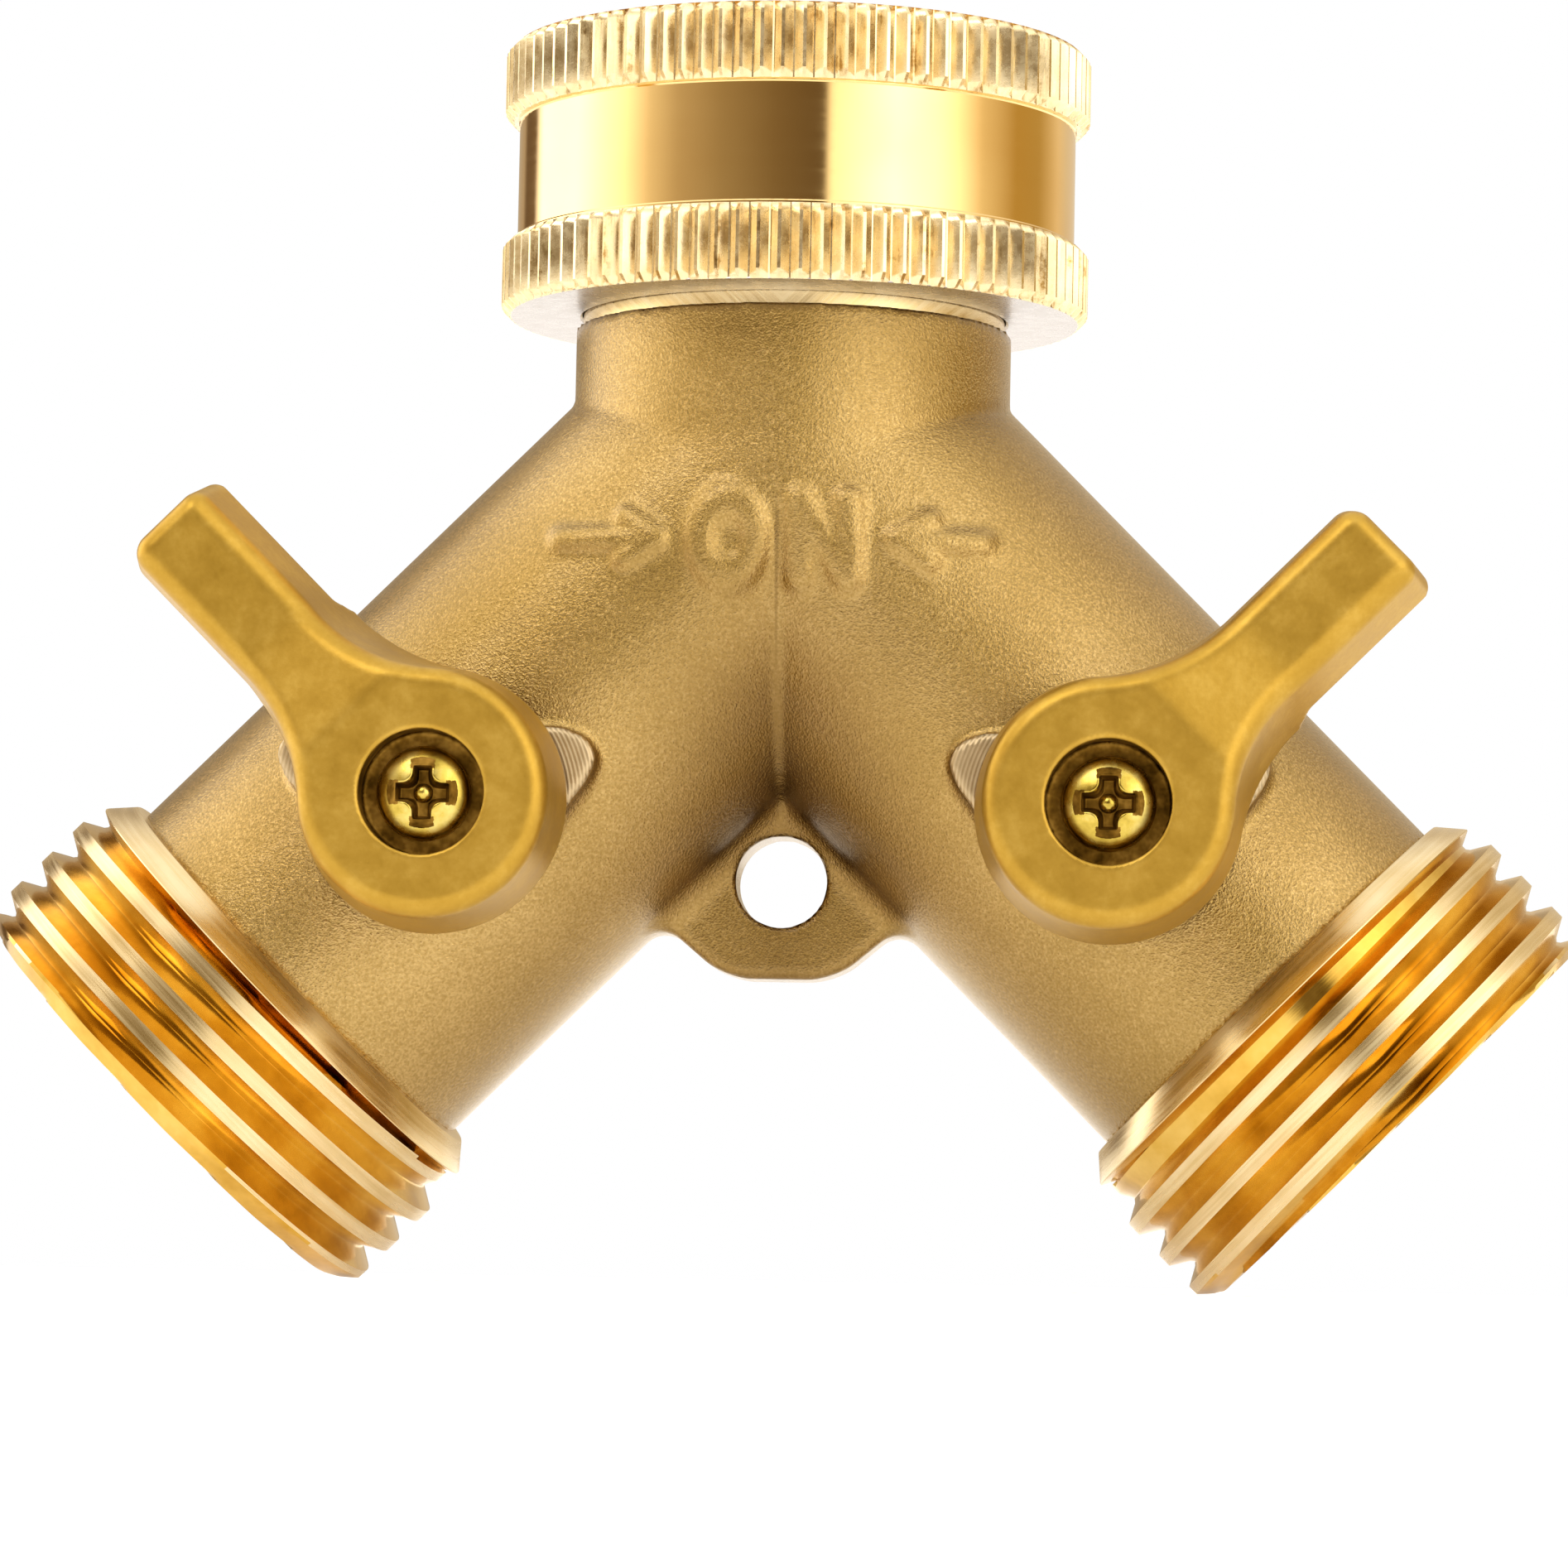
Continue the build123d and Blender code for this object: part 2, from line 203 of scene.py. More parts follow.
def lathe(outline, count=144):
    """Points and faces of a closed outline of (radius, height) points turned about local z."""
    angle = np.arange(count) * 2 * math.pi / count
    outline = np.array(outline, float)
    radius, height = outline[:, 0], outline[:, 1]
    points = np.stack([
        np.outer(np.cos(angle), radius),
        np.outer(np.sin(angle), radius),
        np.outer(np.ones(count), height),
    ], -1).reshape(-1, 3)
    rows = len(outline)
    faces = []
    for i in range(count):
        j = (i + 1) % count
        for k in range(rows):
            m = (k + 1) % rows
            faces.append((i * rows + k, j * rows + k, j * rows + m, i * rows + m))
    return points, faces


def helical_rows(count, samples, turns, profile, start, low, high, envelope, way=1):
    """A thread surface on a skewed grid, so that its crests' edges are true helices.

    Each column is one angle; its rows follow the helix and are held between low and high, where the
    envelope takes over. The columns meet after one turn, one pitch's rows further on."""
    points = []
    step = PITCH / samples
    total = samples * turns
    for i in range(count):
        turn = i / count
        shift = start + way * PITCH * turn
        for k in range(total):
            height = shift + (k - 2 * samples) * step
            radius = profile(k % samples / samples)
            held = min(max(height, low), high)
            radius = envelope(held, turn, radius, height)
            angle = 2 * math.pi * turn
            points.append((radius * math.cos(angle), radius * math.sin(angle), held))
    faces = []
    for i in range(count):
        j = (i + 1) % count
        jump = way * samples if j == 0 else 0
        for k in range(total - 1):
            m = k + jump
            if 0 <= m and m + 1 < total:
                faces.append((i * total + k, j * total + m, j * total + m + 1, i * total + k + 1))
    return np.array(points), faces


def cleaned(points, faces, tolerance=0.0015):
    """Welds points that lie together and drops the faces that collapse."""
    keys = np.round(np.asarray(points) / tolerance).astype(np.int64)
    _, first, index = np.unique(keys, axis=0, return_index=True, return_inverse=True)
    index = index.reshape(-1)
    kept = []
    for face in faces:
        ring = []
        for v in face:
            v = index[v]
            if v not in ring:
                ring.append(v)
        if len(ring) > 2:
            kept.append(tuple(ring))
    return np.asarray(points)[first], kept


def joined(*parts):
    """One list of points and faces from several."""
    points, faces = [], []
    offset = 0
    for p, f in parts:
        points.append(np.asarray(p, float))
        faces += [tuple(v + offset for v in face) for face in f]
        offset += len(p)
    return np.concatenate(points), faces


# Signed distance fields, in millimetres: negative inside

def round_union(a, b, r):
    return np.maximum(r, np.minimum(a, b)) - np.hypot(np.maximum(r - a, 0), np.maximum(r - b, 0))


def round_cut(a, b, r):
    return np.minimum(-r, np.maximum(a, b)) + np.hypot(np.maximum(r + a, 0), np.maximum(r + b, 0))


def to_local(p, place):
    d = p - place[:, 3].astype(np.float32)
    return [d @ place[:, i].astype(np.float32) for i in range(3)]


def convex(x, y, outline, r=0.0):
    """Distance to a convex outline given counterclockwise, with its corners rounded by r."""
    result = None
    count = len(outline)
    for i in range(count):
        ax, ay = outline[i]
        bx, by = outline[(i + 1) % count]
        length = math.hypot(bx - ax, by - ay)
        side = (x - ax) * ((by - ay) / length) - (y - ay) * ((bx - ax) / length)
        result = side if result is None else (
            round_cut(result, side, r) if r > 0 else np.maximum(result, side))
    return result


def segment(x, y, a, b):
    """Distance to a straight stroke from a to b."""
    bx, by = b[0] - a[0], b[1] - a[1]
    t = np.clip(((x - a[0]) * bx + (y - a[1]) * by) / (bx * bx + by * by), 0, 1)
    return np.hypot(x - a[0] - t * bx, y - a[1] - t * by)


def surface_net(field, low, high, step):
    """A closed quad mesh of a field's zero level, with its points drawn onto the surface."""
    axes = [np.arange(a, b + step, step, dtype=np.float32) for a, b in zip(low, high)]
    shape = tuple(len(a) for a in axes)
    value = np.empty(shape, np.float32)
    for i in range(0, shape[0], 24):
        block = np.stack(np.meshgrid(axes[0][i:i + 24], axes[1], axes[2], indexing="ij"), -1)
        value[i:i + 24] = field(block)
    inside = value < 0
    count = np.zeros(tuple(n - 1 for n in shape), np.int8)
    corners = [(a, b, c) for a in (0, 1) for b in (0, 1) for c in (0, 1)]
    for a, b, c in corners:
        count += inside[a:shape[0] - 1 + a, b:shape[1] - 1 + b, c:shape[2] - 1 + c]
    active = (count > 0) & (count < 8)
    cell = np.argwhere(active)
    number = np.full(active.shape, -1, np.int32)
    number[active] = np.arange(len(cell), dtype=np.int32)
    corner = np.array(corners)
    at = cell[:, None, :] + corner[None]
    v = value[at[..., 0], at[..., 1], at[..., 2]]
    total = np.zeros((len(cell), 3))
    crossings = np.zeros(len(cell))
    for m in range(8):
        for n in range(m + 1, 8):
            if np.abs(corner[m] - corner[n]).sum() != 1:
                continue
            cross = (v[:, m] < 0) != (v[:, n] < 0)
            gap = np.where(cross, v[:, m] - v[:, n], 1)
            t = np.where(cross, v[:, m] / gap, 0)
            spot = corner[m] + t[:, None] * (corner[n] - corner[m])
            total += np.where(cross[:, None], spot, 0)
            crossings += cross
    points = np.array(low) + step * (cell + total / crossings[:, None])
    for _ in range(3):
        d, g = value_and_slope(field, points, 0.1 * step)
        move = d[:, None] * g / np.maximum((g * g).sum(1), 0.25)[:, None]
        size = np.sqrt((move * move).sum(1))
        points = points - move * np.minimum(1, 0.4 * step / np.maximum(size, 1e-9))[:, None]
    quads = []
    for axis in range(3):
        u, w = (axis + 1) % 3, (axis + 2) % 3
        near = [slice(None)] * 3
        far = [slice(None)] * 3
        near[axis], far[axis] = slice(0, -1), slice(1, None)
        near[u] = far[u] = slice(1, -1)
        near[w] = far[w] = slice(1, -1)
        a, b = inside[tuple(near)], inside[tuple(far)]
        spot = np.argwhere(a != b)
        start = a[spot[:, 0], spot[:, 1], spot[:, 2]]
        base = spot.copy()
        base[:, u] += 1
        base[:, w] += 1
        eu, ew = np.eye(3, dtype=int)[u], np.eye(3, dtype=int)[w]
        ring = [number[tuple((base - o).T)] for o in (eu + ew, ew, 0 * eu, eu)]
        quad = np.stack(ring, 1)
        quad[~start] = quad[~start][:, ::-1]
        quads.append(quad)
    return points, np.concatenate(quads)


def value_and_slope(field, points, h):
    """The field at points and its gradient by central differences."""
    p = points.astype(np.float64)
    d = field(p)
    g = np.empty_like(p)
    for axis in range(3):
        e = np.zeros(3)
        e[axis] = h
        g[:, axis] = (field(p + e) - field(p - e)) / (2 * h)
    return d, g


# The cast body: neck, two arms, valve pads, hanging web and raised marks

PAD = [(-4.2, -3.4), (4.2, -3.4), (8.1, 1.9), (8.1, 2.7), (6.9, 3.8), (-6.9, 3.8), (-8.1, 2.7), (-8.1, 1.9)]
PAD_BOSS_R = 5.4
WEB = [(-2.8, -48.3), (2.8, -48.3), (8.4, -43.6), (0.6, -35.6), (-0.6, -35.6), (-8.4, -43.6)]


def marks(x, z):
    """Distance to the strokes of the raised marks: the word ON between two arrows."""
    half_width, half_height = 1.42, 1.9
    size = np.hypot((x + 2.5) / half_width, (z - MARK_Z) / half_height)
    strokes = np.abs(size - 1) * 1.55 - LETTER_HALF
    up, low = MARK_Z + half_height, MARK_Z - half_height
    letter = [((1.05, low), (1.05, up)), ((1.05, up), (3.55, low)), ((3.55, low), (3.55, up))]
    arrows = [
        ((-11.0, MARK_Z), (-6.2, MARK_Z)),
        ((-7.7, MARK_Z + 1), (-6.2, MARK_Z)), ((-6.2, MARK_Z), (-7.7, MARK_Z - 1)),
        ((6.0, MARK_Z), (10.3, MARK_Z)),
        ((7.6, MARK_Z + 1), (6.0, MARK_Z)), ((6.0, MARK_Z), (7.6, MARK_Z - 1)),
    ]
    for lines, half in ((letter, LETTER_HALF), (arrows, ARROW_HALF)):
        for a, b in lines:
            strokes = np.minimum(strokes, segment(x, z, a, b) - half)
    return strokes


def casting(p):
    """The whole cast body, from its neck's shoulder to the foot of each outlet's collar."""
    x, y, z = p[..., 0], p[..., 1], p[..., 2]
    neck = np.sqrt(x * x + y * y + np.minimum(z - JUNCTION_Z, 0) ** 2) - NECK_R
    arms = []
    cores = []
    for name in SIDES:
        u, v, s = to_local(p, ARM[name])
        radial = np.hypot(u, v)
        arms.append(np.hypot(radial, np.minimum(s, 0)) - ARM_R)
        way = np.maximum(radial - WATERWAY_R, np.maximum(-s, s - VALVE_S))
        cavity = np.maximum(radial - CAVITY_R, VALVE_S - CAVITY_BACK - s)
        cores.append(np.minimum(way, cavity))
    shell = round_union(arms[0], arms[1], 0.3)
    shell = round_union(shell, neck, 0.2)
    plate = round_cut(np.abs(y) - WEB_HALF, convex(x, z, WEB, 0.9), 0.45)
    shell = round_union(shell, plate, 1.3)
    for name in SIDES:
        u, v, w = to_local(p, VALVE[name])
        px, pz = x - VALVE[name][0, 3], z - VALVE[name][2, 3]
        top = convex(px, pz, PAD, 0.7)
        top = np.minimum(top, np.hypot(px, pz) - PAD_BOSS_R)
        pad = round_cut(top, w - PAD_TOP, 0.08)
        pad = np.maximum(pad, 5 - w)
        shell = round_union(shell, pad, 0.55)
        pocket = np.maximum(np.hypot(u, v) - POCKET_R, np.maximum(-w, w - POCKET_TOP))
        stem_bore = np.maximum(np.hypot(u, v) - STEM_BORE_R, -w)
        cores.append(np.minimum(pocket, stem_bore))

    # The marks rise from the front of the shell only.
    near = (y < -6) & (np.abs(z - MARK_Z) < 4) & (np.abs(x) < 13)
    if near.any():
        raised = round_cut(marks(x[near], z[near]), shell[near] - MARK_RAISE, 0.26)
        shell[near] = round_union(shell[near], raised, 0.75)

    inlet = np.maximum(np.hypot(x, y) - INLET_R, JUNCTION_Z - 4 - z)
    hole = np.hypot(x, z - HANG_Z) - HANG_R
    hollow = np.minimum(inlet, hole + 0 * y)
    for core in cores:
        hollow = np.minimum(hollow, core)
    shell = np.maximum(shell, z - NECK_TOP_Z)
    for name in SIDES:
        s = to_local(p, ARM[name])[2]
        shell = np.maximum(shell, s - COLLAR_START - 0.15)
    return round_cut(shell, -hollow, 0.12)


def cast_body(step):
    arm_tip = (COLLAR_START + ARM_R + 1) * HALF + 0.5
    low = (-arm_tip, -PAD_TOP - 0.7, JUNCTION_Z - arm_tip)
    high = (arm_tip, ARM_R + 0.7, NECK_TOP_Z + 0.7)
    points, quads = surface_net(casting, low, high, step)
    centre = points[quads].mean(1)
    machined = -centre[:, 1] > PAD_TOP - 0.25
    bored = np.zeros(len(centre), bool)
    for name in SIDES:
        u, v, s = to_local(centre, ARM[name])
        bored |= (np.hypot(u, v) < CAVITY_R + 0.15) & (s > VALVE_S - 9)
    bored |= (np.hypot(centre[:, 0], centre[:, 1]) < 8.2) & (centre[:, 2] > JUNCTION_Z + 2)
    index = np.where(machined, 1, np.where(bored, 2, 0))
    return mesh_piece("y_casting", points, quads, UPRIGHT, index)


# Outlets: collar, right-handed hose thread, end face and mouth

def thread_profile(turn_share, crest_r, crest_flat, root_flat, way=1):
    """Radius within one pitch, measured from the middle of a crest."""
    x = min(turn_share, 1 - turn_share) * PITCH
    foot = (PITCH - root_flat) / 2
    if x <= crest_flat / 2:
        return crest_r
    return crest_r - way * (min(x, foot) - crest_flat / 2) * FLANK_SLOPE


def male_profile(turn_share):
    return thread_profile(turn_share, MALE_CREST_R, MALE_CREST_FLAT, MALE_ROOT_FLAT)


def female_profile(turn_share):
    return thread_profile(turn_share, FEMALE_CREST_R, FEMALE_CREST_FLAT, FEMALE_ROOT_FLAT, way=-1)


def outlet(name):
    """One outlet: its collar, right-handed thread with a run-in, end face and mouth."""
    count, samples = 192, 12
    collar_low = male_profile(0.5)
    flank_end = COLLAR_END + (COLLAR_R - collar_low) * math.tan(math.radians(30))
    end = ARM_END

    # The columns' angle runs from the front, and a crest crosses the upper edge a quarter turn away.
    side = SIDES[name]
    start = FIRST_CREST + side * 0.25 * PITCH

    def envelope(s, turn, radius, height):
        upper = (turn + side * 0.25) % 1
        ridge = round((height - FIRST_CREST) / PITCH - upper)
        if ridge < 0:
            fade = min(max((upper - 0.35) / 0.4, 0), 1)
            radius = collar_low + (radius - collar_low) * fade * fade * (3 - 2 * fade)
        if ridge < -1 or s <= flank_end:
            radius = collar_low
        if height > end + 0.5 * PITCH / samples:
            return END_RING_R
        chamfer = MALE_CREST_R - (s - END_CHAMFER_START) * CHAMFER_SLOPE
        return min(radius, chamfer)

    turned = helical_rows(count, samples, 8, male_profile, start, flank_end, end, envelope)
    collar = [
        (11.2, COLLAR_START - 0.05), (12.0, COLLAR_START), (12.08, COLLAR_START + 0.06),
        (COLLAR_R - 0.07, COLLAR_END - 0.1), (COLLAR_R, COLLAR_END), (COLLAR_R - 0.02, COLLAR_END + 0.06),
        (collar_low, flank_end),
    ]
    mouth = [
        (END_RING_R, end), (MOUTH_R + 0.3, end), (MOUTH_R, end - 0.3), (MOUTH_R, end - MOUTH_DEPTH),
        (CAVITY_R, end - MOUTH_DEPTH), (CAVITY_R, COLLAR_START - 0.05),
    ]
    strips = []
    for outline in (collar, mouth):
        points, faces = lathe(outline, count)
        rows = len(outline)
        strips.append((points, [f for i, f in enumerate(faces) if i % rows != rows - 1]))
    points, faces = cleaned(*joined(strips[0], turned, strips[1]))

    # The lands are the level tops of the ridges, and the collar; their paler material is a painted
    # highlight.
    radius = np.hypot(points[:, 0], points[:, 1])
    land = []
    for face in faces:
        across = radius[list(face)]
        level = across.max() - across.min() < 0.04 and across.min() > 12.7
        land.append(level or points[list(face), 2].max() < COLLAR_END + 0.1)
    return mesh_piece(name + "_outlet_thread", points, faces, ARM[name], np.array(land, int), sharp=28)


# The swivel nut: knurled rings, polished band, hose thread inside

def knurl(name, top):
    """A ring of straight V teeth with narrow tips and chamfered ends."""
    teeth = [(0.0, KNURL_ROOT_R), (0.08, KNURL_ROOT_R), (0.46, KNURL_TIP_R), (0.62, KNURL_TIP_R)]
    low = top - KNURL_HEIGHT
    bevel = 0.45
    steps = [0, 0.02, 0.16, 0.3, bevel]
    heights = [low + step for step in steps] + [(low + top) / 2] + [top - step for step in reversed(steps)]
    rng = np.random.default_rng(7)
    points, columns = [], []
    for i in range(KNURL_TEETH):
        nudge = rng.normal(0, 0.012)
        for share, radius in teeth:
            columns.append(((i + share + nudge) * 2 * math.pi / KNURL_TEETH, radius + rng.normal(0, 0.012)))
    for angle, radius in columns:
        column = []
        for height in heights:
            edge = min(height - low, top - height)
            r = min(radius, KNURL_TIP_R - bevel + min(edge, bevel), KNURL_TIP_R)
            column.append((r * math.cos(angle), r * math.sin(angle), height))
        inner = (KNURL_INNER_R * math.cos(angle), KNURL_INNER_R * math.sin(angle))
        points += [(*inner, low + 0.03), *column, (*inner, top - 0.03)]
    rows = len(heights) + 2
    faces = []
    count = len(columns)
    for i in range(count):
        j = (i + 1) % count
        for k in range(rows):
            m = (k + 1) % rows
            faces.append((i * rows + k, j * rows + k, j * rows + m, i * rows + m))
    return mesh_piece(name, points, faces, UPRIGHT, sharp=22)


def nut_shell():
    """The band between the rings, and the flat underside with its lip."""
    bottom = NUT_BOTTOM
    outline = [
        (13.7, -3.2), (BAND_R, -3.5), (BAND_R, -3.92), (BAND_R - 0.06, -4.0), (BAND_R - 0.06, -4.1),
        (BAND_R - 0.06, bottom + 4.15), (BAND_R - 0.06, bottom + 4.05), (BAND_R, bottom + 3.97),
        (BAND_R, bottom + 0.5), (14.76, bottom + 0.02), (14.74, bottom),
        (LIP_R + 0.12, bottom), (LIP_R, bottom + 0.12), (LIP_R, bottom + 1.4), (13.7, bottom + 1.4),
    ]
    points, faces = lathe(outline, 192)
    return mesh_piece("nut_band", points, faces, UPRIGHT, sharp=30)


def nut_thread():
    """The hose thread inside the nut, from the mouth's chamfer to the washer's chamber."""
    count, samples = 160, 12
    low, high = NUT_THREAD_LOW, 0.0
    root_r = FEMALE_CREST_R + 1.22
    mouth_r = FEMALE_CREST_R + MOUTH_CHAMFER

    def envelope(s, turn, radius, height):
        radius = max(radius, mouth_r + min(s, 0) * CHAMFER_SLOPE)
        if s < NUT_FADE_TOP:
            fade = min((NUT_FADE_TOP - s) / 0.5, 1)
            radius = radius + (root_r - radius) * fade
        return radius

    turned = helical_rows(count, samples, 8, female_profile, -9.4, low, high, envelope)
    chamber = [(CHAMBER_R, CHAMBER_LOW), (CHAMBER_R, low)]
    rim = [(mouth_r, 0.0), (14.8, 0.0)]
    parts = [turned]
    for line in (chamber, rim):
        points, faces = lathe(line, count)
        parts.append((points, [f for i, f in enumerate(faces) if i % 2 == 0]))
    points, faces = cleaned(*joined(*parts))
    faces = [f[::-1] for f in faces]
    return mesh_piece("nut_thread", points, faces, UPRIGHT, sharp=28)


# Handles

def soft_max(a, b, k):
    return 0.5 * (a + b + np.sqrt((a - b) ** 2 + k * k))


def soft_min(a, b, k):
    return 0.5 * (a + b - np.sqrt((a - b) ** 2 + k * k))


def drafted(distance, lift, degrees):
    """A wall that leans inwards as it rises."""
    lean = math.radians(degrees)
    return (distance + lift * math.tan(lean)) * math.cos(lean)


def flare(x, y, hub_r, edge, r):
    """The hollow curve that joins a round hub to the lever's edge above it; elsewhere a large value."""
    centre_y = edge + r
    centre_x = np.sqrt((hub_r + r) ** 2 - centre_y ** 2)
    between = (x > 0) & (x < centre_x) & (y > 0) & (y * centre_x < x * centre_y)
    return np.where(between, r - np.hypot(x - centre_x, y - centre_y), 50)


def handle_field(p):
    """One handle in its valve's frame: x along the lever, y to its left, z out of the front."""
    x, y, w = p[..., 0], p[..., 1], p[..., 2]
    hub = drafted(np.hypot(x, y) - HUB_R, w - HANDLE_LOW, HUB_DRAFT)
    left = drafted(y - LEVER_LEFT, w - LEVER_LOW, LEFT_DRAFT)
    right = drafted(-y - LEVER_RIGHT, w - LEVER_LOW, RIGHT_DRAFT)
    tip = drafted(x - LEVER_REACH, w - LEVER_LOW, TIP_DRAFT)
    lever = round_cut(left, tip, 1.1)
    lever = round_cut(lever, right, 0.8)
    lever = np.maximum(lever, -x)

    hub_r = HUB_R - (w - HANDLE_LOW) * math.tan(math.radians(HUB_DRAFT))
    left_edge = LEVER_LEFT - (w - LEVER_LOW) * math.tan(math.radians(LEFT_DRAFT))
    right_edge = LEVER_RIGHT - (w - LEVER_LOW) * math.tan(math.radians(RIGHT_DRAFT))
    side = np.minimum(hub, lever)
    side = np.minimum(side, flare(x, y, hub_r, left_edge, FLARE_R))
    side = np.minimum(side, flare(x, -y, hub_r, right_edge, FLARE_R))

    ramp = HANDLE_TOP - (x - RAMP_START) * (HANDLE_TOP - LEVER_TOP) / (RAMP_END - RAMP_START)
    roof = np.minimum(soft_max(LEVER_TOP, soft_min(HANDLE_TOP, ramp, 0.06), 0.22), HANDLE_TOP)
    body = round_cut(side, w - roof, 0.85)
    floor = HANDLE_LOW + np.clip(x - LEVER_LIFT_AT, 0, 1) * (LEVER_LOW - HANDLE_LOW)
    body = round_cut(body, floor - w, 0.2)

    # The wedge that meets the pad's ears at each end of the quarter turn.
    wedge = np.maximum(convex(x, y, WEDGE), np.maximum(WEDGE_LOW - w, w - WEDGE_TOP))
    body = np.minimum(body, wedge)
    bore = np.maximum(np.hypot(x, y) - COUNTERBORE_R, COUNTERBORE_LOW - w)
    socket = np.maximum(np.maximum(np.abs(x), np.abs(y)) - SOCKET_HALF, w - SOCKET_TOP)
    return round_cut(body, -np.minimum(bore, socket), 0.1)


def handle_shape(step):
    low = (-HUB_R - 0.6, -HUB_R - 0.6, 11.3)
    high = (LEVER_REACH + 0.7, HUB_R + 0.6, HANDLE_TOP + 0.5)
    points, quads = surface_net(handle_field, low, high, step)
    centre = points[quads].mean(1)
    # Faces inside the counterbore take the dark material: painted shade in the bore.
    inside = np.hypot(centre[:, 0], centre[:, 1]) < COUNTERBORE_R + 0.05
    inside &= centre[:, 2] < HANDLE_TOP - 0.12
    return points, quads, inside.astype(int)


# Screws

def screw_field(p):
    """A pan-head screw with a cross recess, in its valve's frame."""
    x, y, w = p[..., 0], p[..., 1], p[..., 2]
    dome = np.sqrt(x * x + y * y + (w - (HEAD_TOP - HEAD_DOME_R)) ** 2) - HEAD_DOME_R
    head = round_cut(np.hypot(x, y) - HEAD_R, dome, 0.3)
    head = np.maximum(head, COUNTERBORE_LOW + 0.02 - w)
    depth = HEAD_TOP - w
    spread = np.maximum(0.9 - depth, 0) * 0.3
    along, across = np.abs(x + y) * HALF, np.abs(x - y) * HALF
    arm_a = np.maximum(along - RECESS_REACH - spread, across - RECESS_HALF - spread)
    arm_b = np.maximum(across - RECESS_REACH - spread, along - RECESS_HALF - spread)
    cross = round_union(arm_a, arm_b, 0.5)
    nub = np.sqrt(x * x + y * y + (w - (HEAD_TOP - RECESS_DEPTH)) ** 2) - NUB_R
    recess = np.maximum(cross, depth - RECESS_DEPTH)
    recess = np.maximum(recess, -nub)
    return round_cut(head, -recess, 0.07)


def screw_shape(step):
    low = (-2.6, -2.6, COUNTERBORE_LOW - 0.2)
    high = (2.6, 2.6, COUNTERBORE_LOW + 1.7)
    points, quads = surface_net(screw_field, low, high, step)
    centre = points[quads].mean(1)
    radial = np.hypot(centre[:, 0], centre[:, 1])
    along, across = np.abs(centre[:, 0] + centre[:, 1]), np.abs(centre[:, 0] - centre[:, 1])
    # Faces deep in the cross recess, clear of the nub, take the same dark material: painted shade in the
    # recess.
    slot = np.minimum(along, across) * HALF < 0.6
    sunk = slot & (centre[:, 2] < HEAD_TOP - 0.22) & (radial < 1.75) & (radial > 0.42)
    return points, quads, sunk.astype(int)


# Materials

class Nodes:
    """A small helper that adds shader nodes and links them."""

    def __init__(self, name):
        self.material = bpy.data.materials.new(name)
        self.material.use_nodes = True
        self.tree = self.material.node_tree
        self.shader = self.tree.nodes["Principled BSDF"]
        self.coordinates = self.add("ShaderNodeTexCoord").outputs["Object"]

    def add(self, kind, **settings):
        node = self.tree.nodes.new(kind)
        for key, value in settings.items():
            setattr(node, key, value)
        return node

    def link(self, output, socket):
        self.tree.links.new(output, socket)

    def noise(self, scale, detail=2.0, rough=0.5, stretch=(1, 1, 1), coordinates=None):
        mapping = self.add("ShaderNodeMapping")
        mapping.inputs["Scale"].default_value = stretch
        self.link(coordinates or self.coordinates, mapping.inputs["Vector"])
        node = self.add("ShaderNodeTexNoise")
        node.inputs["Scale"].default_value = scale
        node.inputs["Detail"].default_value = detail
        node.inputs["Roughness"].default_value = rough
        self.link(mapping.outputs["Vector"], node.inputs["Vector"])
        return node.outputs["Fac"]

    def along_arms(self, across):
        """Coordinates that change fast along an arm and slowly round it, for lathe lines."""
        separate = self.add("ShaderNodeSeparateXYZ")
        self.link(self.coordinates, separate.inputs["Vector"])
        out = self.math("ABSOLUTE", separate.outputs["X"])
        combined = self.add("ShaderNodeCombineXYZ")
        along = self.math("MULTIPLY", self.math("SUBTRACT", out, separate.outputs["Z"]), HALF)
        aside = self.math("MULTIPLY", self.math("ADD", out, separate.outputs["Z"]), HALF * across)
        self.link(along, combined.inputs["X"])
        self.link(aside, combined.inputs["Y"])
        self.link(self.math("MULTIPLY", separate.outputs["Y"], across), combined.inputs["Z"])
        return combined.outputs["Vector"]

    def ramp(self, value, stops):
        node = self.add("ShaderNodeValToRGB")
        ramp = node.color_ramp
        while len(ramp.elements) < len(stops):
            ramp.elements.new(0.5)
        for element, (position, colour) in zip(ramp.elements, stops):
            element.position = position
            element.color = (*colour, 1)
        self.link(value, node.inputs["Fac"])
        return node.outputs["Color"]

    def span(self, value, low, high, start=0.0, end=1.0):
        node = self.add("ShaderNodeMapRange")
        node.inputs["From Min"].default_value = start
        node.inputs["From Max"].default_value = end
        node.inputs["To Min"].default_value = low
        node.inputs["To Max"].default_value = high
        self.link(value, node.inputs["Value"])
        return node.outputs["Result"]

    def math(self, operation, a, b=None):
        node = self.add("ShaderNodeMath", operation=operation)
        for socket, value in zip(node.inputs, (a, b)):
            if value is None:
                continue
            if isinstance(value, (int, float)):
                socket.default_value = value
            else:
                self.link(value, socket)
        return node.outputs["Value"]

    def bump(self, height, strength, distance):
        node = self.add("ShaderNodeBump")
        node.inputs["Strength"].default_value = strength
        node.inputs["Distance"].default_value = distance
        self.link(height, node.inputs["Height"])
        return node.outputs["Normal"]

    def finish(self, colour, rough, normal=None, metallic=1.0, **fixed):
        shader = self.shader
        shader.inputs["Metallic"].default_value = metallic
        self.link(colour, shader.inputs["Base Color"])
        self.link(rough, shader.inputs["Roughness"])
        if normal is not None:
            self.link(normal, shader.inputs["Normal"])
        for key, value in fixed.items():
            shader.inputs[key.replace("_", " ")].default_value = value
        return self.material


